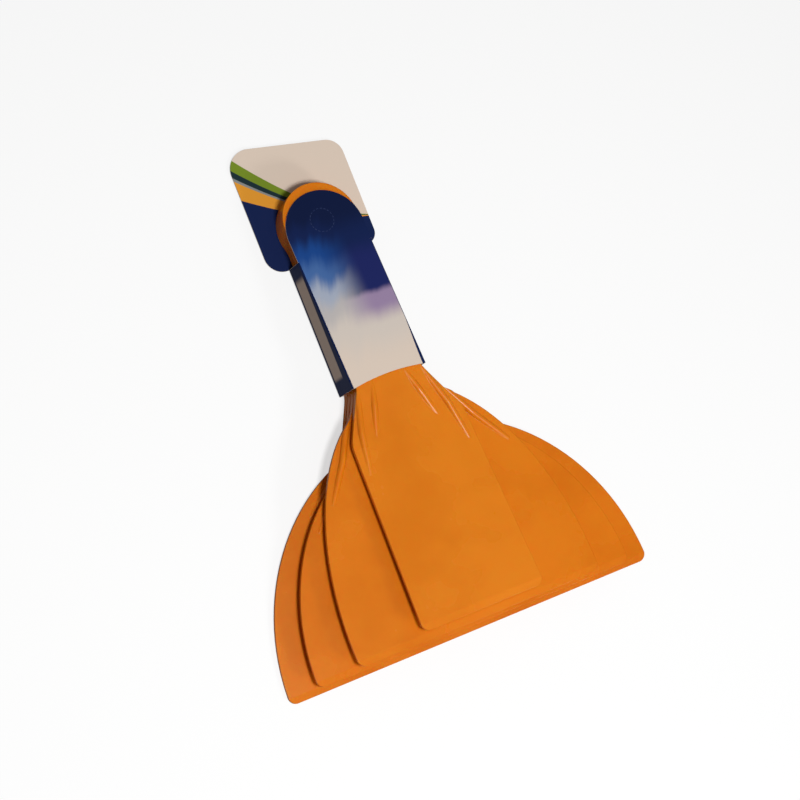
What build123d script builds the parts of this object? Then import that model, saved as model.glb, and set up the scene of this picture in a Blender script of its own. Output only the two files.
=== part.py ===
"""Four stacked plastic scrapers in a folded card sleeve with a header, in millimetres."""
from build123d import *
from collections import namedtuple
from math import atan, atan2, degrees, radians, tan
import os

# Handle, the same on every scraper
# Heights along the tool are measured from the working edge of the widest scraper
tool_height = 173.0
disc_radius = 14.4
hang_hole_radius = 4.7
neck_height = 97.0
end_thickness = 2.1
neck_thickness = 3.75
grip_inset = 1.1
neck_inset = 1.8
disc_blend_radius = 12.0
grip_half_width = disc_radius - grip_inset
neck_half_width = disc_radius - neck_inset

# Flare below the neck, the same on every scraper
flare_half_width = 26.4
flare_height_share = 0.722
flare_root_share = 0.5
neck_blend_radius = 16.0
neck_blend_reach_share = 0.25
flare_height = flare_height_share * neck_height
flare_root_half_width = flare_half_width + flare_root_share * (flare_half_width - neck_half_width)
flare_root_height = flare_height - flare_root_share * (neck_height - flare_height)

# Blade, thinning from its root to a bevelled working edge
# A ramp leads down to the root from a little above the neck
ramp_reach = 5.0
blade_root_height_share = 0.82
blade_root_thickness = 1.9
blade_thickness = 1.2
edge_thickness = 0.6
edge_bevel = 2.6
edge_corner_radius = 3.0
shoulder_blend_radius = 14.0
narrow_shoulder_radius = 9.0
narrow_shoulder_share = 0.912
ramp_start_height = neck_height + ramp_reach
blade_root_height = blade_root_height_share * neck_height

# Ribs that run from the handle on to the blade
# The inner ones keep to shares of the neck's half width and of its height
rib_radius = 1.25
rib_relief = 0.1
inner_rib_start_share = 0.40
inner_rib_middle_shares = (0.73, 0.907)
inner_rib_tip_shares = (1.00, 0.794)
inner_rib_rise_share = 0.97
outer_rib_start_share = 0.89
outer_rib_rise_share = 0.80

# Stack: thin gaps between flat faces that slide on each other
stack_gap = 0.1

# Card sleeve: a closed band, a round tongue over the discs and a header behind them
card_thickness = 0.4
band_clearance = 0.3
front_slack = 0.2
fold_radius = 0.9
mouth_drop = 0.5
mouth_bow = 1.3
tongue_inset = 3.0
tongue_length = 23.5
header_half_width = 22.3
header_left_reach = 22.6
header_right_reach = 14.4
header_left_corner = 8.0
header_right_corner = 6.5
header_left_foot_corner = 6.8
header_right_foot_corner = 4.5
mouth_height = neck_height - mouth_drop
tongue_top_height = tool_height - tongue_inset
band_top_height = tongue_top_height - tongue_length

# A cutter runs this far past the face that it opens
overrun = 1.0

# Two corners nearer than this count as one
close = 0.01

# Blades, and how much shorter each tool is than the widest one
widest_width = 150.0
broad_width = 130.0
medium_width = 100.0
narrow_width = 50.0
broad_edge_rise = 1.9
medium_edge_rise = 3.1
narrow_edge_rise = 6.2

# Each scraper: the middle and the rise of its oval blade as shares of the neck's height,
# then points on its outer ribs as shares of half its width and of the neck's height
Scraper = namedtuple("Scraper", "name width edge_rise crown_shares rib_middle_shares rib_tip_shares")
scrapers = [
    Scraper("widest_scraper", widest_width, 0, (0, 0.814), (0.345, 0.742), (0.573, 0.613)),
    Scraper("broad_scraper", broad_width, broad_edge_rise, (0.012, 0.763), (0.446, 0.701), (0.669, 0.546)),
    Scraper("medium_scraper", medium_width, medium_edge_rise, (0.052, 0.872), (0.540, 0.758), (0.730, 0.619)),
    Scraper("narrow_scraper", narrow_width, narrow_edge_rise, None, (0.712, 0.825), (0.816, 0.670)),
]

# Wedge of one scraper: all the flat faces of the fanned stack meet at one line, the apex
disc_height = tool_height - disc_radius
band_half_width = disc_radius + band_clearance
wedge_slope = (neck_thickness - end_thickness) / (tool_height - neck_height)
wedge_angle = degrees(atan(wedge_slope))
apex_height = tool_height + (end_thickness + stack_gap) / wedge_slope
thickest = wedge_slope * apex_height
stack_height = len(scrapers) * thickest

# The set lies on the widest working edge and on the lower edge of the card's back
card_back = stack_gap + card_thickness
rest_tilt = degrees(atan2(card_back, mouth_height))


def wedge_top(height, layers=1):
    """Height of the flat face that closes a number of stacked layers, above the lowest back."""
    return (apex_height - height) * tan(radians(layers * wedge_angle))


def round_corners(prism, low, high, radius):
    """Round the upright corners of an upright prism that lie between two heights."""
    corners = [e for e in prism.edges().filter_by(Axis.Z)
               if low - close <= e.center().Y <= high + close and abs(e.center().X) > close]
    return fillet(corners, radius)


def mirrored(half):
    """A flat outline from the points of its right half, listed from the middle line round."""
    left = [(-x, y) for x, y in reversed(half)]
    return make_face(Polyline(*half, *left, close=True))


def handle_outline():
    """Tapered bar with a round end, seen from above."""
    bar = mirrored([(neck_half_width, neck_height), (grip_half_width, disc_height)])
    return bar + Pos(0, disc_height) * Circle(disc_radius)


def flare_outline():
    """The widening neck that carries the handle into the blade, with its root inside the blade."""
    return mirrored([(flare_root_half_width, flare_root_height), (neck_half_width, neck_height)])


def crowned_blade(tool):
    """Half an oval above a straight working edge."""
    edge = tool.edge_rise
    middle, rise = (share * neck_height for share in tool.crown_shares)
    oval = Pos(0, edge + middle) * Ellipse(rise, tool.width / 2, rotation=-90)
    above = Pos(0, edge) * Rectangle(tool.width, tool_height, align=(Align.CENTER, Align.MIN))
    return oval & above


def straight_blade(tool):
    """A long strip that narrows a little towards its sloping shoulders."""
    slope = (flare_half_width - neck_half_width) / (neck_height - flare_height)
    half_shoulder = narrow_shoulder_share * tool.width / 2
    shoulder = neck_height - (half_shoulder - neck_half_width) / slope
    strip = Rectangle(2 * half_shoulder, 2 * tool_height)
    return mirrored([(tool.width / 2, tool.edge_rise), (half_shoulder, shoulder)]) + (flare_outline() & strip)


def tool_plan(tool):
    """Upright prism with the whole outline of a scraper, all its corners rounded."""
    if tool.crown_shares is None:
        blade = straight_blade(tool)
        shoulder_radius = narrow_shoulder_radius
    else:
        blade = crowned_blade(tool) + flare_outline()
        shoulder_radius = shoulder_blend_radius
    prism = extrude(blade + handle_outline(), amount=thickest)
    reach = neck_blend_radius * neck_blend_reach_share
    low_neck = neck_height - reach
    high_neck = neck_height + reach
    prism = round_corners(prism, high_neck, disc_height, disc_blend_radius)
    prism = round_corners(prism, low_neck, high_neck, neck_blend_radius)
    prism = round_corners(prism, flare_root_height, low_neck, shoulder_radius)
    return round_corners(prism, tool.edge_rise, tool.edge_rise, edge_corner_radius)


def tool_profile(tool):
    """Side view: flat back, thin blade, smooth ramp at the neck and a wedge-shaped handle."""
    edge = tool.edge_rise
    back = Polyline((edge, edge_thickness), (edge, 0), (tool_height + overrun, 0),
                    (tool_height + overrun, wedge_top(tool_height + overrun) - stack_gap))
    top = Line(back @ 1, (ramp_start_height, wedge_top(ramp_start_height) - stack_gap))
    root = (blade_root_height, blade_root_thickness)
    blade = Line(root, (edge + edge_bevel, blade_thickness))
    ramp = Spline(top @ 1, root, tangents=[top % 1, blade % 0])
    bevel = Line(blade @ 1, back @ 0)
    section = make_face(Plane.YZ * Curve([back, top, ramp, blade, bevel]))
    return extrude(section, amount=tool.width, both=True)


def rib_point(half_width, shares):
    """A point on a rib, from its shares of a half width and of the neck's height."""
    across, along = shares
    return across * half_width, along * neck_height


def rib(start_across, middle, tip, rise_share):
    """A round rib that starts inside the handle, bends once and sinks into the blade at its tip."""
    start_rise = wedge_top(ramp_start_height) - stack_gap - rib_relief - rib_radius
    tip_rise = blade_root_thickness - rib_radius
    middle_rise = tip_rise + (start_rise - tip_rise) * rise_share
    start = (start_across, ramp_start_height, start_rise)
    path = Polyline(start, (*middle, middle_rise), (*tip, tip_rise))
    section = Plane(origin=path @ 0, z_dir=path % 0) * Circle(rib_radius)
    return sweep(section, path=path, transition=Transition.RIGHT)


def tool_ribs(tool):
    """The four ribs, a little lower than the face that the next layer lies on."""
    inner = rib(inner_rib_start_share * neck_half_width,
                rib_point(neck_half_width, inner_rib_middle_shares),
                rib_point(neck_half_width, inner_rib_tip_shares), inner_rib_rise_share)
    outer = rib(outer_rib_start_share * neck_half_width,
                rib_point(tool.width / 2, tool.rib_middle_shares),
                rib_point(tool.width / 2, tool.rib_tip_shares), outer_rib_rise_share)
    return [inner, mirror(inner, Plane.YZ), outer, mirror(outer, Plane.YZ)]


def scraper(tool):
    """One scraper, lying on its back at its own place along the stack."""
    plan = tool_plan(tool)
    body = plan & tool_profile(tool)
    for piece in tool_ribs(tool):
        body += piece & plan
    hole = Pos(0, disc_height, -overrun) * Cylinder(
        hang_hole_radius, thickest + 2 * overrun, align=(Align.CENTER, Align.CENTER, Align.MIN))
    return body - hole


def in_stack(shape, layer):
    """Tilt a scraper about the apex line to its layer of the fan."""
    fan = Pos(0, apex_height, 0) * Rot(X=-layer * wedge_angle) * Pos(0, -apex_height, 0)
    return fan * shape


def laid_down(shape):
    """Tilt the set about the widest working edge until the card's back meets the ground."""
    return Rot(X=rest_tilt) * shape


def card_front(height):
    """Height of the card's inner front face, a little above the top handle and its gap."""
    return wedge_top(height, len(scrapers)) + front_slack


def band_section(height, grow):
    """Round-cornered section of the band's inside at one height, grown by a wall."""
    low = -stack_gap - grow
    high = card_front(height) + grow
    plane = Plane(origin=(0, height, (low + high) / 2), x_dir=(1, 0, 0), z_dir=(0, 1, 0))
    corner = fold_radius - card_thickness + grow
    return plane * RectangleRounded(2 * (band_half_width + grow), high - low, corner)


def card_band():
    """Closed band round the four handles, deeper at its mouth, with a shallow bow cut in its front."""
    ends = (mouth_height, band_top_height)
    outside = loft([band_section(h, card_thickness) for h in ends], ruled=True)
    inside = loft([band_section(h, 0) for h in ends], ruled=True)
    fold = band_half_width + card_thickness - fold_radius
    bow = ThreePointArc((-fold, mouth_height), (0, mouth_height + mouth_bow), (fold, mouth_height))
    below = mouth_height - overrun
    rim = Polyline(bow @ 1, (fold, below), (-fold, below), bow @ 0)
    middle = card_front(mouth_height) / 2
    cut = Pos(0, 0, middle) * extrude(make_face(Curve([bow, rim])), amount=stack_height)
    return outside - inside - cut


def card_tongue():
    """Round tongue that goes on from the band's front over the discs."""
    half = band_half_width + card_thickness
    centre = tongue_top_height - half
    strip = Pos(0, band_top_height) * Rectangle(
        2 * half, centre - band_top_height, align=(Align.CENTER, Align.MIN))
    outline = strip + Pos(0, centre) * Circle(half)
    front = [(h, card_front(h)) for h in (band_top_height, tool_height)]
    back = [(h, rise + card_thickness) for h, rise in reversed(front)]
    slab = extrude(make_face(Plane.YZ * Polyline(*front, *back, close=True)), amount=half, both=True)
    return slab & extrude(outline, amount=stack_height)


def card_header():
    """Flat header behind the discs, with a sloping top edge and round corners."""
    half = header_half_width
    corners = [(-half, band_top_height), (half, band_top_height),
               (half, tool_height + header_right_reach), (-half, tool_height + header_left_reach)]
    radii = [header_left_foot_corner, header_right_foot_corner,
             header_right_corner, header_left_corner]
    sheet = extrude(make_face(Polyline(*corners, close=True)), amount=card_thickness)
    for (x, y), radius in zip(corners, radii):
        edge = sheet.edges().filter_by(Axis.Z).sort_by_distance((x, y, 0))[0]
        sheet = fillet(edge, radius)
    return Pos(0, 0, -card_back) * sheet


def card_sleeve():
    """The whole card: band, tongue and header, folded from one blank."""
    return card_band() + card_tongue() + card_header()


part_list = {"card_sleeve": laid_down(card_sleeve())}
for layer, tool in enumerate(scrapers):
    part_list[tool.name] = laid_down(in_stack(scraper(tool), layer))

# The set runs from the widest working edge to the top of the header, and is centred between them
frame_middle = part_list["card_sleeve"].bounding_box().max.Y / 2

os.makedirs("parts", exist_ok=True)
for name, shape in part_list.items():
    export_step(Pos(0, -frame_middle, 0) * shape, f"parts/{name}.step")
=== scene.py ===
"""Four nested plastic scrapers in a printed card sleeve, dressed and lit. Sizes are in metres."""
from collections import namedtuple
from math import cos, radians, sin

import bpy
from mathutils import Matrix, Vector


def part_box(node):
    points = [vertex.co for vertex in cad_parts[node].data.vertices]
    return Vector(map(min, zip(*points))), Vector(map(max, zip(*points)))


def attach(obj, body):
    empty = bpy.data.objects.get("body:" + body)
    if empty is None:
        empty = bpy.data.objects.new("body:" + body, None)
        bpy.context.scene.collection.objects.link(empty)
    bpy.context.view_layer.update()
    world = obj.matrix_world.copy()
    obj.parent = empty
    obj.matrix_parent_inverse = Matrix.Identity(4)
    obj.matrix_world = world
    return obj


MM = 0.001

# Camera, looking down on the set from its left side and turned in the picture
view_azimuth = radians(190.0)
view_elevation = radians(67.8)
view_roll = radians(58.9)
view_distance = 900 * MM
view_lens = 110.7
sensor_width = 36.0
aim_right = 9.2 * MM
aim_up = -6.1 * MM

# Lamps: name, direction as azimuth and elevation, distance, side, watts
lamps = [
    ("key_lamp", radians(243), radians(75), 900 * MM, 160 * MM, 6.2),
    ("edge_lamp", radians(300), radians(31), 1000 * MM, 160 * MM, 1.9),
]
sky_paint = (1.0, 1.0, 1.0)
sky_strength = 0.18

# Floor: the paint that lights the object, then the paint and the glow that the camera sees
floor_side = 4.0
floor_paint = (0.30, 0.30, 0.298)
seen_floor_paint = (0.92, 0.92, 0.918)
seen_floor_glow_share = 0.62
floor_roughness = 0.9
floor_gloss = 0.0

# Noise that all materials share: its detail, and the values that most of it lies between
grain_detail = 2.0
patch_detail = 4.0
noise_turn = (0.35, 0.65)
noise_middle = 0.5

# Plastic colours from the top layer down, as linear shares of red, green and blue: one orange, with each
# lower layer a little darker as painted shade
layer_shaded_plastic_paints = {
    "narrow_scraper": (0.715, 0.205, 0.0070),
    "medium_scraper": (0.705, 0.192, 0.0050),
    "broad_scraper": (0.695, 0.182, 0.0040),
    "widest_scraper": (0.690, 0.178, 0.0040),
}
darker_shares = (0.92, 0.86, 0.70)
plastic_gloss = 0.24
plastic_roughness = 0.27
plastic_roughness_spread = 0.12
plastic_grain_size = 0.35 * MM
plastic_grain_depth = 0.006 * MM
plastic_patch_size = 30 * MM

# Light that sinks into the plastic: how much, how far, and the reach of red, green and blue
plastic_depth_share = 0.35
plastic_depth = 2.0 * MM
depth_shares = (1.0, 0.16, 0.04)

# Reach of the soft glint along moulded edges, too fine to model
moulded_edge = 0.27 * MM
moulded_edge_samples = 6

# Card surface, and the same for the cuts in it
card_gloss = 0.08
card_roughness = 0.415
card_roughness_spread = 0.15
card_grain_size = 0.5 * MM
card_grain_depth = 0.012 * MM
card_patch_size = 18 * MM
cut_roughness = 0.6
cut_grain_size = 0.3 * MM
cut_patch_size = 2 * MM

# Ring of short cuts on the tongue, over the scrapers' hang holes
ring_middle_y = 61.6 * MM
ring_radius = 4.5 * MM
ring_cuts = 20
cut_length = 0.85 * MM
cut_width = 0.16 * MM
cut_sink_share = 0.3

# Card print, as linear shares of red, green and blue
night = (0.0044, 0.0100, 0.045)
navy = (0.006, 0.015, 0.072)
indigo = (0.012, 0.018, 0.105)
blue = (0.010, 0.055, 0.230)
steel = (0.055, 0.130, 0.330)
haze = (0.34, 0.38, 0.47)
pearl = (0.46, 0.43, 0.42)
lilac = (0.29, 0.21, 0.34)
cream = (0.60, 0.53, 0.47)
warm_cream = (0.66, 0.55, 0.46)
leaf_green = (0.17, 0.25, 0.020)
amber = (0.72, 0.30, 0.030)
slate = (0.012, 0.030, 0.035)
silver = (0.24, 0.25, 0.24)
raw_card = (0.62, 0.55, 0.46)
inner_card = (0.50, 0.47, 0.43)
side_card = (0.52, 0.40, 0.33)
header_cream = (0.69, 0.57, 0.47)
cut_navy = (0.012, 0.024, 0.095)
cut_pale = (0.050, 0.070, 0.150)

# Front print: shares of the card's length from its mouth, with the colour at each
# The left colours turn to the right ones between two shares of the card's half width
left_front_shares = [(0.05, warm_cream), (0.20, cream), (0.295, pearl), (0.37, haze),
                     (0.445, steel), (0.52, blue), (0.60, navy), (0.67, night)]
right_front_shares = [(0.05, warm_cream), (0.19, cream), (0.27, lilac), (0.305, lilac),
                      (0.335, indigo), (0.445, indigo), (0.54, navy), (0.65, night)]
front_turn_shares = (-0.35, 0.30)

# Soft slanted streaks that shift the front print, more on its left than on its right
left_streak_share = 0.17
right_streak_share = 0.03
streak_width = 7 * MM
streak_slope = -0.32
streak_stretch_share = 0.12
streak_detail = 4.0

# Dark stripe along the front's right edge, which tapers off up the card
edge_stripe_width = 1.4 * MM
edge_stripe_top_share = 0.30

# Header print: stripes that spread from one point beyond the right edge, as heights at the left edge
fan_point = Vector((30.0, 58.5)) * MM
fan_width = 51 * MM
fan_bend = 1.7
stripes = [(20.0 * MM, amber), (27.2 * MM, silver), (28.5 * MM, slate), (31.5 * MM, leaf_green),
           (37.0 * MM, header_cream)]
print_blur = 0.15 * MM

# Pale panel on each side wall: where it fades in and out, along the card and up from its back
panel_start_shares = (0.05, 0.07)
panel_end_shares = (0.44, 0.47)
panel_foot = (2.0 * MM, 2.8 * MM)
panel_head = (10.6 * MM, 11.4 * MM)

# Where the card's parts start, as a share of its length and as a height, and half its band's width
band_top_share = 0.512
card_split_height = 5 * MM
band_half_width = 15.1 * MM

# A face looks a way if its normal's part that way is over this share
facing_share = 0.5

# Sockets that colour mixing nodes have no separate name for
mix_first, mix_second, mix_result = 6, 7, 2

# A point on the card: where it lies, how its face leans, and its place as shares and a height
CardPoint = namedtuple("CardPoint", "x y z lean_x lean_z along across height")


def new_node(tree, kind, **settings):
    """A node of one kind with its settings made."""
    made = tree.nodes.new(kind)
    for name, value in settings.items():
        setattr(made, name, value)
    return made


def feed(tree, socket, value):
    """Join a socket to another one, or give it a plain value."""
    if isinstance(value, bpy.types.NodeSocket):
        tree.links.new(value, socket)
    elif isinstance(value, tuple) and len(value) == 3 and len(socket.default_value) == 4:
        socket.default_value = (*value, 1.0)
    else:
        socket.default_value = value


def calc(tree, operation, first, second=None):
    """The result of one sum."""
    made = new_node(tree, "ShaderNodeMath", operation=operation)
    feed(tree, made.inputs[0], first)
    if second is not None:
        feed(tree, made.inputs[1], second)
    return made.outputs[0]


def blend(tree, share, first, second):
    """A colour between two colours."""
    made = new_node(tree, "ShaderNodeMix", data_type="RGBA")
    feed(tree, made.inputs["Factor"], share)
    feed(tree, made.inputs[mix_first], first)
    feed(tree, made.inputs[mix_second], second)
    return made.outputs[mix_result]


def ramp(tree, value, low, high):
    """Zero below one value, one above another, with a smooth rise between."""
    made = new_node(tree, "ShaderNodeMapRange", interpolation_type="SMOOTHSTEP")
    feed(tree, made.inputs["Value"], value)
    made.inputs["From Min"].default_value = low
    made.inputs["From Max"].default_value = high
    return made.outputs["Result"]


def gradient(tree, value, stops):
    """A print gradient through several colours, each at its own place."""
    made = new_node(tree, "ShaderNodeValToRGB")
    feed(tree, made.inputs["Fac"], value)
    colours = made.color_ramp
    colours.interpolation = "EASE"
    while len(colours.elements) < len(stops):
        colours.elements.new(1.0)
    for element, (start, paint) in zip(colours.elements, stops):
        element.position = start
        element.color = (*paint, 1.0)
    return made.outputs["Color"]


def over(tree, value, limit):
    """One where a value is over a limit."""
    return calc(tree, "GREATER_THAN", value, limit)


def under(tree, value, limit):
    """One where a value is under a limit."""
    return calc(tree, "LESS_THAN", value, limit)


def both(tree, *masks):
    """One only where every mask is one."""
    result = masks[0]
    for mask in masks[1:]:
        result = calc(tree, "MULTIPLY", result, mask)
    return result


def opposite(tree, mask):
    """One where a mask is zero."""
    return calc(tree, "SUBTRACT", 1.0, mask)


def split(tree, vector):
    """The three parts of a vector."""
    parts = new_node(tree, "ShaderNodeSeparateXYZ")
    tree.links.new(vector, parts.inputs[0])
    return parts.outputs


def surface_group():
    """Fine surface grain and slow patches of tone, shared by the plastic, the card and its cuts."""
    tree = bpy.data.node_groups.new("moulded_and_pressed_surface", "ShaderNodeTree")
    face = tree.interface
    face.new_socket("Place", in_out="INPUT", socket_type="NodeSocketVector")
    for name, size in (("Grain Scale", plastic_grain_size), ("Patch Scale", plastic_patch_size)):
        scale = face.new_socket(name, in_out="INPUT", socket_type="NodeSocketFloat")
        scale.default_value = 1 / size
    face.new_socket("Grain", in_out="OUTPUT", socket_type="NodeSocketFloat")
    face.new_socket("Patch", in_out="OUTPUT", socket_type="NodeSocketFloat")
    start = new_node(tree, "NodeGroupInput")
    end = new_node(tree, "NodeGroupOutput")
    for result, detail in (("Grain", grain_detail), ("Patch", patch_detail)):
        lumps = new_node(tree, "ShaderNodeTexNoise")
        tree.links.new(start.outputs["Place"], lumps.inputs["Vector"])
        tree.links.new(start.outputs[result + " Scale"], lumps.inputs["Scale"])
        lumps.inputs["Detail"].default_value = detail
        tree.links.new(lumps.outputs["Fac"], end.inputs[result])
    return tree


def new_material(name):
    """An empty node material with its shader."""
    made = bpy.data.materials.new(name)
    made.use_nodes = True
    tree = made.node_tree
    return made, tree, tree.nodes["Principled BSDF"]


def surface_of(tree, group, grain_size, patch_size):
    """The grain and the patches of one material, by name."""
    place = new_node(tree, "ShaderNodeTexCoord")
    made = new_node(tree, "ShaderNodeGroup", node_tree=group)
    tree.links.new(place.outputs["Object"], made.inputs["Place"])
    made.inputs["Grain Scale"].default_value = 1 / grain_size
    made.inputs["Patch Scale"].default_value = 1 / patch_size
    return made.outputs


def patchy_roughness(tree, patch, middle, spread):
    """Roughness that varies with the patches by a given spread."""
    return calc(tree, "ADD", calc(tree, "MULTIPLY", patch, spread), middle - spread / 2)


def grain_bump(tree, grain, depth):
    """Bump of a given depth from the grain."""
    made = new_node(tree, "ShaderNodeBump")
    made.inputs["Distance"].default_value = depth
    feed(tree, made.inputs["Height"], grain)
    return made


def plastic_material(name, paint, group):
    """Satin moulded plastic with a fine grain and slight patches of tone."""
    made, tree, shader = new_material(name)
    surface = surface_of(tree, group, plastic_grain_size, plastic_patch_size)
    darker = tuple(channel * share for channel, share in zip(paint, darker_shares))
    colour = blend(tree, ramp(tree, surface["Patch"], *noise_turn), darker, paint)
    feed(tree, shader.inputs["Base Color"], colour)
    rough = patchy_roughness(tree, surface["Patch"], plastic_roughness, plastic_roughness_spread)
    feed(tree, shader.inputs["Roughness"], rough)
    edge = new_node(tree, "ShaderNodeBevel", samples=moulded_edge_samples)
    edge.inputs["Radius"].default_value = moulded_edge
    bump = grain_bump(tree, surface["Grain"], plastic_grain_depth)
    feed(tree, bump.inputs["Normal"], edge.outputs["Normal"])
    feed(tree, shader.inputs["Normal"], bump.outputs["Normal"])
    shader.inputs["Specular IOR Level"].default_value = plastic_gloss
    shader.inputs["Subsurface Weight"].default_value = plastic_depth_share
    shader.inputs["Subsurface Radius"].default_value = depth_shares
    shader.inputs["Subsurface Scale"].default_value = plastic_depth
    return made


def card_point(tree, low, high):
    """A point on the card, from its own coordinates and the lowest and highest corners of the card."""
    place = new_node(tree, "ShaderNodeTexCoord")
    x, y, z = split(tree, place.outputs["Object"])
    lean_x, _, lean_z = split(tree, place.outputs["Normal"])
    along = calc(tree, "DIVIDE", calc(tree, "SUBTRACT", y, low.y), high.y - low.y)
    across = calc(tree, "DIVIDE", x, high.x)
    height = calc(tree, "SUBTRACT", z, low.z)
    return CardPoint(x, y, z, lean_x, lean_z, along, across, height)


def streak_noise(tree, point):
    """Soft noise drawn out into slanted streaks along the card."""
    slanted = calc(tree, "ADD", point.x, calc(tree, "MULTIPLY", point.y, streak_slope))
    place = new_node(tree, "ShaderNodeCombineXYZ")
    tree.links.new(slanted, place.inputs[0])
    tree.links.new(calc(tree, "MULTIPLY", point.y, streak_stretch_share), place.inputs[1])
    made = new_node(tree, "ShaderNodeTexNoise")
    tree.links.new(place.outputs[0], made.inputs["Vector"])
    made.inputs["Scale"].default_value = 1 / streak_width
    made.inputs["Detail"].default_value = streak_detail
    return made.outputs["Fac"]


def front_print(tree, point):
    """Front panel, from cream at the mouth to navy over the round end, with soft slanted streaks."""
    streaks = calc(tree, "SUBTRACT", streak_noise(tree, point), noise_middle)
    sides = []
    for share, stops in ((left_streak_share, left_front_shares), (right_streak_share, right_front_shares)):
        shift = calc(tree, "MULTIPLY", streaks, share)
        sides.append(gradient(tree, calc(tree, "SUBTRACT", point.along, shift), stops))
    paint = blend(tree, ramp(tree, point.across, *front_turn_shares), *sides)
    taper = opposite(tree, ramp(tree, point.along, 0.0, edge_stripe_top_share))
    stripe_width = calc(tree, "MULTIPLY", taper, edge_stripe_width)
    inset = calc(tree, "SUBTRACT", band_half_width, point.x)
    return blend(tree, under(tree, inset, stripe_width), paint, navy)


def header_print(tree, point):
    """Header: cream above, navy below, with stripes that spread to the left between them."""
    reach = calc(tree, "DIVIDE", calc(tree, "SUBTRACT", fan_point.x, point.x), fan_width)
    spread = calc(tree, "POWER", reach, fan_bend)
    fan = calc(tree, "DIVIDE", calc(tree, "SUBTRACT", point.y, fan_point.y), spread)
    paint = navy
    for start, stripe_paint in stripes:
        paint = blend(tree, ramp(tree, fan, start - print_blur, start + print_blur), paint, stripe_paint)
    return paint


def side_print(tree, point):
    """Side walls: a long pale panel with a navy border."""
    panel = both(tree,
                 ramp(tree, point.along, *panel_start_shares),
                 opposite(tree, ramp(tree, point.along, *panel_end_shares)),
                 ramp(tree, point.height, *panel_foot),
                 opposite(tree, ramp(tree, point.height, *panel_head)))
    return blend(tree, panel, navy, side_card)


def card_material(group, low, high):
    """Thin carton: gradient front, striped header, panelled side walls, raw edges and a plain inside."""
    made, tree, shader = new_material("printed_card")
    surface = surface_of(tree, group, card_grain_size, card_patch_size)
    point = card_point(tree, low, high)

    # Which face of the card a point is on
    faces_up = over(tree, point.lean_z, facing_share)
    faces_down = under(tree, point.lean_z, -facing_share)
    faces_sideways = over(tree, calc(tree, "ABSOLUTE", point.lean_x), facing_share)
    edge_on = under(tree, calc(tree, "ABSOLUTE", point.lean_z), facing_share)
    outward = over(tree, calc(tree, "MULTIPLY", point.x, point.lean_x), 0.0)
    high_up = over(tree, point.z, card_split_height)
    low_down = opposite(tree, high_up)
    above_band = over(tree, point.along, band_top_share)
    on_front = both(tree, faces_up, high_up)
    on_header = both(tree, faces_up, low_down, above_band)
    on_side = both(tree, faces_sideways, outward, opposite(tree, above_band))
    on_back = both(tree, faces_down, low_down)
    on_raw_edge = both(tree, edge_on, opposite(tree, on_side))

    colour = inner_card
    for mask, paint in ((on_front, front_print(tree, point)), (on_header, header_print(tree, point)),
                        (on_side, side_print(tree, point)), (on_back, cream), (on_raw_edge, raw_card)):
        colour = blend(tree, mask, colour, paint)
    feed(tree, shader.inputs["Base Color"], colour)
    rough = patchy_roughness(tree, surface["Patch"], card_roughness, card_roughness_spread)
    feed(tree, shader.inputs["Roughness"], rough)
    bump = grain_bump(tree, surface["Grain"], card_grain_depth)
    feed(tree, shader.inputs["Normal"], bump.outputs["Normal"])
    shader.inputs["Specular IOR Level"].default_value = card_gloss
    return made


def cut_material(group):
    """Navy print broken a little by the cuts, so that the pale board shows faintly."""
    made, tree, shader = new_material("cut_card")
    surface = surface_of(tree, group, cut_grain_size, cut_patch_size)
    colour = blend(tree, ramp(tree, surface["Grain"], *noise_turn), cut_navy, cut_pale)
    feed(tree, shader.inputs["Base Color"], colour)
    shader.inputs["Specular IOR Level"].default_value = card_gloss
    shader.inputs["Roughness"].default_value = cut_roughness
    return made


def paint_node(node, material):
    """Give a carried-over piece its material."""
    for index in range(len(node.data.materials)):
        node.data.materials[index] = material
    if not node.data.materials:
        node.data.materials.append(material)


def add_object(name, data):
    """A new object in the scene, at the origin."""
    made = bpy.data.objects.new(name, data)
    bpy.context.scene.collection.objects.link(made)
    return made


def ring_tree(material):
    """Short cuts spaced evenly round a circle."""
    tree = bpy.data.node_groups.new("ring_of_cuts", "GeometryNodeTree")
    face = tree.interface
    for name in ("Radius", "Cut Length", "Cut Width"):
        face.new_socket(name, in_out="INPUT", socket_type="NodeSocketFloat")
    face.new_socket("Cuts", in_out="INPUT", socket_type="NodeSocketInt")
    face.new_socket("Geometry", in_out="OUTPUT", socket_type="NodeSocketGeometry")
    start = new_node(tree, "NodeGroupInput")
    end = new_node(tree, "NodeGroupOutput")
    circle = new_node(tree, "GeometryNodeCurvePrimitiveCircle")
    tree.links.new(start.outputs["Radius"], circle.inputs["Radius"])
    points = new_node(tree, "GeometryNodeCurveToPoints", mode="COUNT")
    tree.links.new(circle.outputs["Curve"], points.inputs["Curve"])
    tree.links.new(start.outputs["Cuts"], points.inputs["Count"])
    size = new_node(tree, "ShaderNodeCombineXYZ")
    for axis, name in enumerate(("Cut Width", "Cut Width", "Cut Length")):
        tree.links.new(start.outputs[name], size.inputs[axis])
    cut = new_node(tree, "GeometryNodeMeshCube")
    tree.links.new(size.outputs[0], cut.inputs["Size"])
    placed = new_node(tree, "GeometryNodeInstanceOnPoints")
    tree.links.new(points.outputs["Points"], placed.inputs["Points"])
    tree.links.new(points.outputs["Rotation"], placed.inputs["Rotation"])
    tree.links.new(cut.outputs["Mesh"], placed.inputs["Instance"])
    real = new_node(tree, "GeometryNodeRealizeInstances")
    tree.links.new(placed.outputs[0], real.inputs[0])
    painted = new_node(tree, "GeometryNodeSetMaterial")
    painted.inputs["Material"].default_value = material
    tree.links.new(real.outputs[0], painted.inputs["Geometry"])
    tree.links.new(painted.outputs[0], end.inputs["Geometry"])
    return tree


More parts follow.
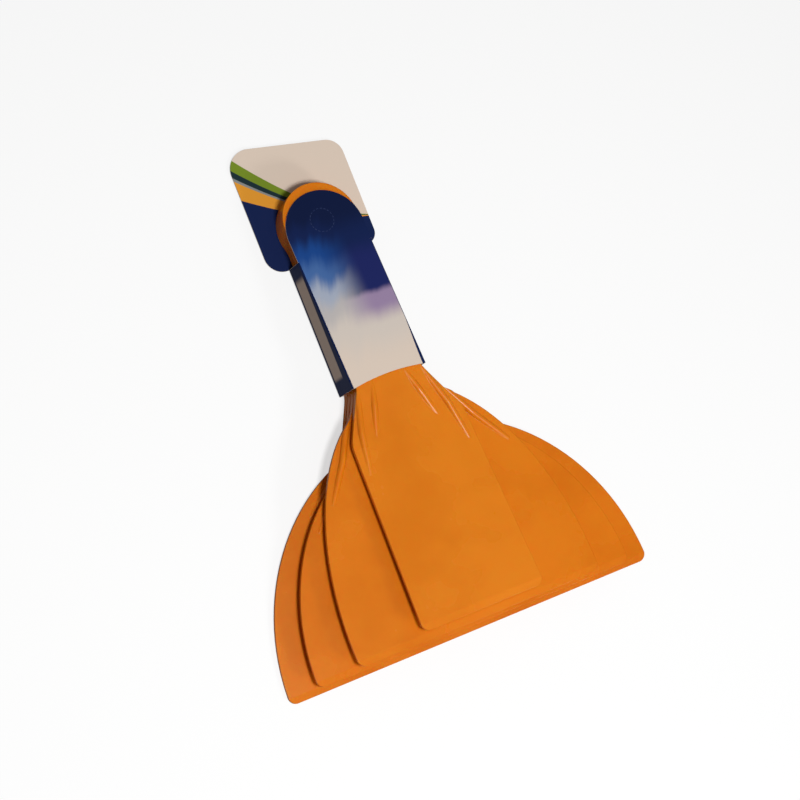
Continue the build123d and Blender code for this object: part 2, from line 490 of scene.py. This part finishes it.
def ring_mesh(group):
    """The ring of cuts as a plain mesh, flat about the origin."""
    source = add_object("ring_source", bpy.data.meshes.new("ring_source"))
    tree = ring_tree(cut_material(group))
    cuts = source.modifiers.new("cuts", "NODES")
    cuts.node_group = tree
    sizes = {"Radius": ring_radius, "Cut Length": cut_length, "Cut Width": cut_width, "Cuts": ring_cuts}
    for socket in tree.interface.items_tree:
        if socket.in_out == "INPUT":
            cuts[socket.identifier] = sizes[socket.name]
    state = bpy.context.evaluated_depsgraph_get()
    mesh = bpy.data.meshes.new_from_object(source.evaluated_get(state))
    bpy.data.objects.remove(source)
    return mesh


def tongue_ring(group, start_height):
    """The ring of cuts, laid on the tongue where the frame's card has its front face."""
    mesh = ring_mesh(group)
    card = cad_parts["card_sleeve"]
    above = Vector((0, ring_middle_y, start_height))
    down = Vector((0, 0, -1))
    _, spot, normal, _ = card.ray_cast(above, down)
    spot = spot - normal * cut_width * cut_sink_share
    mesh.transform(Matrix.Translation(spot) @ normal.to_track_quat("Z", "Y").to_matrix().to_4x4())
    made = add_object("tongue_ring", mesh)
    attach(made, "sleeve")


def direction(azimuth, elevation):
    """Unit vector towards a place in the sky."""
    return Vector((cos(elevation) * cos(azimuth), cos(elevation) * sin(azimuth), sin(elevation)))


def make_camera():
    """Camera at the viewing angle, held level to the turned picture."""
    back = direction(view_azimuth, view_elevation)
    level = Vector((-sin(view_azimuth), cos(view_azimuth), 0))
    upright = back.cross(level)
    right = cos(view_roll) * level + sin(view_roll) * upright
    up = cos(view_roll) * upright - sin(view_roll) * level
    place = back * view_distance + right * aim_right + up * aim_up
    data = bpy.data.cameras.new("camera")
    data.lens = view_lens
    data.sensor_width = sensor_width
    made = add_object("camera", data)
    axes = Matrix((right, up, back)).transposed().to_4x4()
    made.matrix_world = Matrix.Translation(place) @ axes
    bpy.context.scene.camera = made


def make_lamps():
    """Two soft square lamps and an even sky."""
    for name, azimuth, elevation, distance, side, watts in lamps:
        data = bpy.data.lights.new(name, "AREA")
        data.energy = watts
        data.size = side
        made = add_object(name, data)
        towards = direction(azimuth, elevation)
        made.location = towards * distance
        made.rotation_euler = towards.to_track_quat("Z", "Y").to_euler()
    world = bpy.data.worlds.new("sky")
    bpy.context.scene.world = world
    world.use_nodes = True
    sky_light = world.node_tree.nodes["Background"]
    feed(world.node_tree, sky_light.inputs["Color"], sky_paint)
    sky_light.inputs["Strength"].default_value = sky_strength


def make_floor():
    """A plain pale floor under the set."""
    bpy.ops.mesh.primitive_plane_add(size=floor_side)
    floor = bpy.context.object
    floor.name = "floor"
    material, tree, shader = new_material("floor")
    seen = new_node(tree, "ShaderNodeLightPath").outputs["Is Camera Ray"]
    feed(tree, shader.inputs["Base Color"], blend(tree, seen, floor_paint, seen_floor_paint))
    shader.inputs["Roughness"].default_value = floor_roughness
    shader.inputs["Specular IOR Level"].default_value = floor_gloss
    glow = new_node(tree, "ShaderNodeEmission")
    mix = new_node(tree, "ShaderNodeMixShader")
    feed(tree, mix.inputs[0], calc(tree, "MULTIPLY", seen, seen_floor_glow_share))
    tree.links.new(shader.outputs[0], mix.inputs[1])
    tree.links.new(glow.outputs[0], mix.inputs[2])
    tree.links.new(mix.outputs[0], tree.nodes["Material Output"].inputs["Surface"])
    floor.data.materials.append(material)


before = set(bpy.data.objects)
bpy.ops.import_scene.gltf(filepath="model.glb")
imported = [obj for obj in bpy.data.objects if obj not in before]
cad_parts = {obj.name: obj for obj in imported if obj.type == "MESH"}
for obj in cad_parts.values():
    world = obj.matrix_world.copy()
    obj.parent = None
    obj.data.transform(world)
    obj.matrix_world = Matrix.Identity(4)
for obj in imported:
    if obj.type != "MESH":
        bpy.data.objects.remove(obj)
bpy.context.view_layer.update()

shared_surface = surface_group()
for node_name, node_paint in layer_shaded_plastic_paints.items():
    node_material = plastic_material(node_name + "_plastic", node_paint, shared_surface)
    paint_node(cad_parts[node_name], node_material)
card_low, card_high = (Vector(corner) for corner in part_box("card_sleeve"))
paint_node(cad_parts["card_sleeve"], card_material(shared_surface, card_low, card_high))
tongue_ring(shared_surface, 2 * card_high.z)

make_floor()
make_lamps()
make_camera()
bpy.context.scene.view_settings.view_transform = "Standard"
